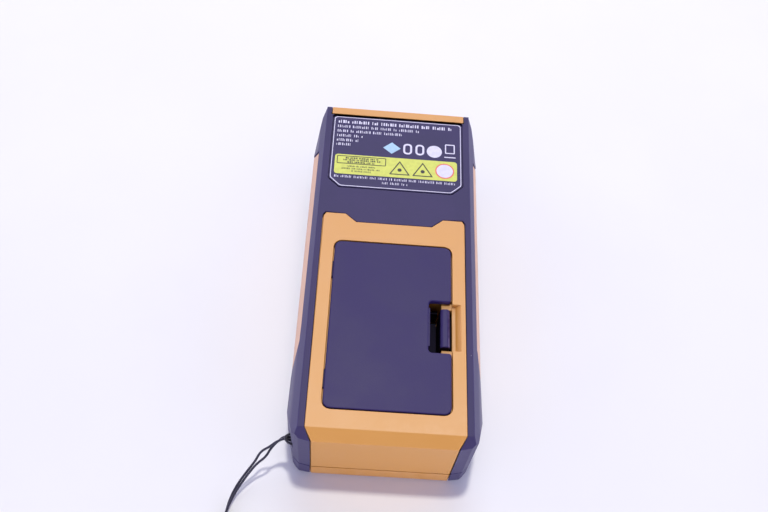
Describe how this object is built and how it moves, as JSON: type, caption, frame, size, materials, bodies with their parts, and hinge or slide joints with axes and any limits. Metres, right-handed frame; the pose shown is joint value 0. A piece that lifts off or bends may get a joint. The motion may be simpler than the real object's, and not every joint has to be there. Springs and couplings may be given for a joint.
{
  "type": "laser distance meter",
  "caption": "Handheld laser distance meter lying face down: faceted orange and black case with battery door, latch, sprung keys, optics and a wrist strap.",
  "frame": {"origin": "middle of the meter's footprint on the surface it lies on, strap left out", "axes": "+Z out of the back cover, +Y along the meter to its laser end, +X right for someone who reads the label; front face down"},
  "size_m": [0.0666, 0.1689, 0.026],
  "materials": {
    "orange_shell": "satin moulded",
    "orange_soft": "soft matt",
    "black_grip": "soft matt",
    "black_panel": "satin",
    "door_black": "fine texture",
    "ferrule_black": "satin",
    "steel": "plated",
    "label_film": "printed film",
    "window_clear": "clear",
    "lcd_glass": "display glass",
    "key_silicone": "matt",
    "board": "solder mask",
    "cast_metal": "cast",
    "brass": "turned",
    "lens_clear": "polished",
    "receiver_glass": "coated red",
    "foam": "closed-cell foam",
    "cell": "printed sleeve",
    "contact_plate": "nickel plated",
    "string_black": "twisted nylon",
    "wrist_cord": "braided nylon",
    "key_grey": "matt",
    "key_orange": "matt"
  },
  "bodies": {
    "housing": {"rear_shell": "orange_shell", "front_shell": "orange_shell", "side_strip_left": "orange_soft", "side_strip_right": "orange_soft", "rear_grip": "black_grip", "front_grip_left": "black_grip", "front_grip_right": "black_grip", "keypad_bezel": "black_panel", "nose_plate": "black_panel", "strap_ferrule": "ferrule_black", "strap_pin": "steel", "rating_label": "label_film", "display_window": "window_clear", "lcd_module": "lcd_glass", "key_mat": "key_silicone", "main_board": "board", "sensor_board": "board", "buzzer": "black_panel", "shield_can": "steel", "optics_chassis": "cast_metal", "laser_barrel": "brass", "laser_diode": "brass", "photodiode": "steel", "collimator_lens": "lens_clear", "receiver_lens": "receiver_glass", "laser_window": "lens_clear", "battery_1": "cell", "battery_2": "cell", "contact_bridge": "contact_plate", "contact_positive": "contact_plate", "contact_negative": "contact_plate", "battery_spring_1": "contact_plate", "battery_spring_2": "contact_plate", "strap_string_a": "string_black", "strap_string_b": "string_black", "wrist_lead_in": "wrist_cord", "wrist_lead_out": "wrist_cord", "wrist_coil": "wrist_cord", "case_screw_1": "steel", "case_screw_2": "steel", "case_screw_3": "steel", "case_screw_4": "steel", "board_screw_1": "steel", "board_screw_2": "steel"},
    "door": {"battery_door": "door_black", "door_pad": "foam"},
    "latch": {"door_latch": "door_black"},
    "button_measure": {"key_measure": "key_orange"},
    "button_plus": {"key_plus": "key_grey"},
    "button_minus": {"key_minus": "key_grey"},
    "button_mode": {"key_mode": "key_grey"},
    "button_memory": {"key_memory": "key_grey"},
    "button_unit": {"key_unit": "key_grey"},
    "button_datum": {"key_datum": "key_grey"},
    "button_timer": {"key_timer": "key_grey"},
    "button_power": {"key_power": "key_grey"}
  },
  "joints": [
    {"name": "door_swing", "type": "hinge", "parent": "housing", "child": "door", "pos_m": [-0.0163, -0.02055, 0.026], "axis": [0, -1, 0], "range_deg": [0, 75]},
    {"name": "latch_press", "type": "hinge", "parent": "door", "child": "latch", "pos_m": [0.0139, -0.0207, 0.0158], "axis": [0, -1, 0], "range_deg": [0, 9], "stiffness_Nm_per_rad": 0.12},
    {"name": "press_measure", "type": "slide", "parent": "housing", "child": "button_measure", "axis": [0, 0, 1], "range_m": [0, 0.0008], "stiffness_N_per_m": 1800},
    {"name": "press_plus", "type": "slide", "parent": "housing", "child": "button_plus", "axis": [0, 0, 1], "range_m": [0, 0.0008], "stiffness_N_per_m": 1800},
    {"name": "press_minus", "type": "slide", "parent": "housing", "child": "button_minus", "axis": [0, 0, 1], "range_m": [0, 0.0008], "stiffness_N_per_m": 1800},
    {"name": "press_mode", "type": "slide", "parent": "housing", "child": "button_mode", "axis": [0, 0, 1], "range_m": [0, 0.0008], "stiffness_N_per_m": 1800},
    {"name": "press_memory", "type": "slide", "parent": "housing", "child": "button_memory", "axis": [0, 0, 1], "range_m": [0, 0.0008], "stiffness_N_per_m": 1800},
    {"name": "press_unit", "type": "slide", "parent": "housing", "child": "button_unit", "axis": [0, 0, 1], "range_m": [0, 0.0008], "stiffness_N_per_m": 1800},
    {"name": "press_datum", "type": "slide", "parent": "housing", "child": "button_datum", "axis": [0, 0, 1], "range_m": [0, 0.0008], "stiffness_N_per_m": 1800},
    {"name": "press_timer", "type": "slide", "parent": "housing", "child": "button_timer", "axis": [0, 0, 1], "range_m": [0, 0.0008], "stiffness_N_per_m": 1800},
    {"name": "press_power", "type": "slide", "parent": "housing", "child": "button_power", "axis": [0, 0, 1], "range_m": [0, 0.0008], "stiffness_N_per_m": 1800}
  ]
}
